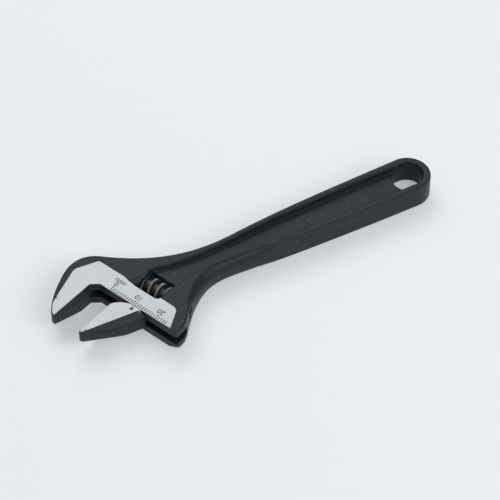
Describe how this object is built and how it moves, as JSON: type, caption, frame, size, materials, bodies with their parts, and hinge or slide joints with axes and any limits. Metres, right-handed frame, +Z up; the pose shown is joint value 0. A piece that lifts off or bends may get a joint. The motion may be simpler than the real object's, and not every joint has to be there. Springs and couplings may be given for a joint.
{
  "type": "adjustable wrench",
  "caption": "Thin-jaw adjustable wrench with a sliding jaw, knurled worm in a window, mm scale, recessed handle and hang hole.",
  "frame": {"origin": "middle of the base of the bounding box, with the wrench lying on its back", "axes": "+X along the handle from the jaws to the hang hole, +Y towards the fixed jaw's side, +Z up out of the scale face"},
  "size_m": [0.1464, 0.046, 0.0096],
  "materials": {
    "black_forging": "satin black oxide with a ground bright scale pad",
    "jaw_steel": "ground bright on the scale side, dark on the faces",
    "worm_steel": "oiled dark steel with bright worn crests",
    "pin_steel": "oiled dark steel",
    "spring_steel": "bright spring wire"
  },
  "bodies": {
    "frame": {"body": "black_forging", "worm_pin": "pin_steel", "worm_spring": "spring_steel"},
    "jaw": {"movable_jaw": "jaw_steel"},
    "knurl": {"worm": "worm_steel"}
  },
  "joints": [
    {"name": "jaw_slide", "type": "slide", "parent": "frame", "child": "jaw", "axis": [0.342, -0.9397, 0], "range_m": [-0.011, 0.0129]},
    {"name": "worm_spin", "type": "hinge", "parent": "frame", "child": "knurl", "pos_m": [-0.03943, 0.00778, 0.0048], "axis": [0.342, -0.9397, 0], "range_deg": [-1452, 1238]}
  ],
  "couplings": [
    {"joint": "worm_spin", "follows": "jaw_slide", "rad_per_m": -1963.5}
  ]
}
